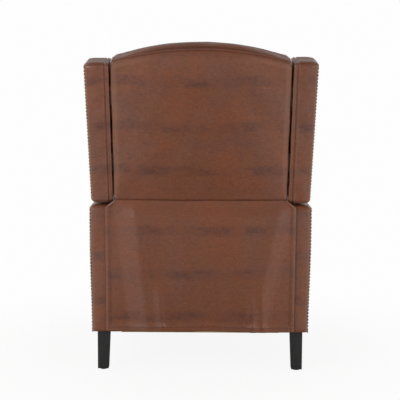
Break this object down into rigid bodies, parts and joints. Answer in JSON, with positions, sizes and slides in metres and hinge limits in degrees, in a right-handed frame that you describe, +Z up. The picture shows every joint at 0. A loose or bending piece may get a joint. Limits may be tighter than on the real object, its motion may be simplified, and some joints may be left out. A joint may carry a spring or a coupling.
{
  "type": "wingback recliner",
  "caption": "Leather-covered wingback armchair that reclines when pushed: its back leans, its seat slides forward and a padded footrest swings out.",
  "frame": {"origin": "centre of the box's underside: midway across and midway front to rear, on the floor", "axes": "+Z up, -Y the way the sitter faces, +X to the sitter's left"},
  "size_m": [0.705, 0.833, 1.0401],
  "materials": {
    "leather": "brown coated leather with a soft sheen",
    "timber": "sawn frame timber",
    "dark_wood": "near-black satin lacquer",
    "steel": "dark coated steel",
    "cloth": "dark woven lining cloth",
    "glide": "black plastic"
  },
  "bodies": {
    "base": {"left_arm": "leather", "right_arm": "leather", "front_cross_rail": "timber", "rear_cross_rail": "timber", "front_left_leg": "dark_wood", "front_right_leg": "dark_wood", "rear_left_leg": "dark_wood", "rear_right_leg": "dark_wood", "leg_glides": "glide", "left_base_plate": "steel", "right_base_plate": "steel", "base_pins": "steel"},
    "back": {"outside_back": "leather", "back_stiles": "timber", "back_rails": "timber", "back_webbing": "cloth", "inside_back": "leather", "tuft_buttons": "leather", "left_wing": "leather", "right_wing": "leather", "wing_brackets": "steel", "left_back_bracket": "steel", "right_back_bracket": "steel"},
    "flap": {"rear_flap": "leather"},
    "hangers": {"left_hanger": "steel", "right_hanger": "steel", "hanger_tube": "steel"},
    "seat": {"front_seat_rail": "timber", "rear_seat_rail": "timber", "left_seat_rail": "timber", "right_seat_rail": "timber", "seat_springs": "steel", "seat_deck": "cloth", "seat_cushion": "leather", "left_seat_plate": "steel", "right_seat_plate": "steel", "left_cam_plate": "steel", "right_cam_plate": "steel", "seat_spacers": "steel", "seat_pins": "steel"},
    "long_links": {"left_long_link": "steel", "right_long_link": "steel", "long_link_tube": "steel", "long_link_rivets": "steel"},
    "cross_links": {"left_cross_link": "steel", "right_cross_link": "steel", "cross_link_rivets": "steel"},
    "outer_links": {"left_outer_link": "steel", "right_outer_link": "steel"},
    "footrest": {"left_footrest_bracket": "steel", "right_footrest_bracket": "steel", "footrest_rivets": "steel", "footrest_board": "timber", "footrest_pad": "leather"}
  },
  "joints": [
    {"name": "back_recline", "type": "hinge", "parent": "base", "child": "back", "pos_m": [0, 0.24394, 0.385], "axis": [-1, 0, 0], "range_deg": [0, 35]},
    {"name": "flap_hang", "type": "hinge", "parent": "back", "child": "flap", "pos_m": [0, 0.30494, 0.553], "axis": [-1, 0, 0], "range_deg": [-35.01, 0]},
    {"name": "hanger_swing", "type": "hinge", "parent": "base", "child": "hangers", "pos_m": [0, -0.18806, 0.345], "axis": [-1, 0, 0], "range_deg": [0, 35.01]},
    {"name": "seat_level", "type": "hinge", "parent": "hangers", "child": "seat", "pos_m": [0, -0.157, 0.22909], "axis": [-1, 0, 0], "range_deg": [-35.01, 0]},
    {"name": "long_link_swing", "type": "hinge", "parent": "seat", "child": "long_links", "pos_m": [0, -0.30706, 0.325], "axis": [-1, 0, 0], "range_deg": [0, 82.01]},
    {"name": "cross_link_swing", "type": "hinge", "parent": "long_links", "child": "cross_links", "pos_m": [0, -0.29523, 0.24083], "axis": [-1, 0, 0], "range_deg": [-164.01, 0]},
    {"name": "outer_link_swing", "type": "hinge", "parent": "long_links", "child": "outer_links", "pos_m": [0, -0.28201, 0.14675], "axis": [-1, 0, 0], "range_deg": [-164.01, 0]},
    {"name": "footrest_swing", "type": "hinge", "parent": "cross_links", "child": "footrest", "pos_m": [0, -0.31602, 0.33864], "axis": [-1, 0, 0], "range_deg": [0, 164.01]}
  ],
  "couplings": [
    {"joint": "flap_hang", "follows": "back_recline", "ratio": -1},
    {"joint": "hanger_swing", "follows": "back_recline", "ratio": 1},
    {"joint": "seat_level", "follows": "back_recline", "ratio": -1},
    {"joint": "long_link_swing", "follows": "back_recline", "ratio": 2.3429},
    {"joint": "cross_link_swing", "follows": "back_recline", "ratio": -4.6857},
    {"joint": "outer_link_swing", "follows": "back_recline", "ratio": -4.6857},
    {"joint": "footrest_swing", "follows": "back_recline", "ratio": 4.6857}
  ]
}
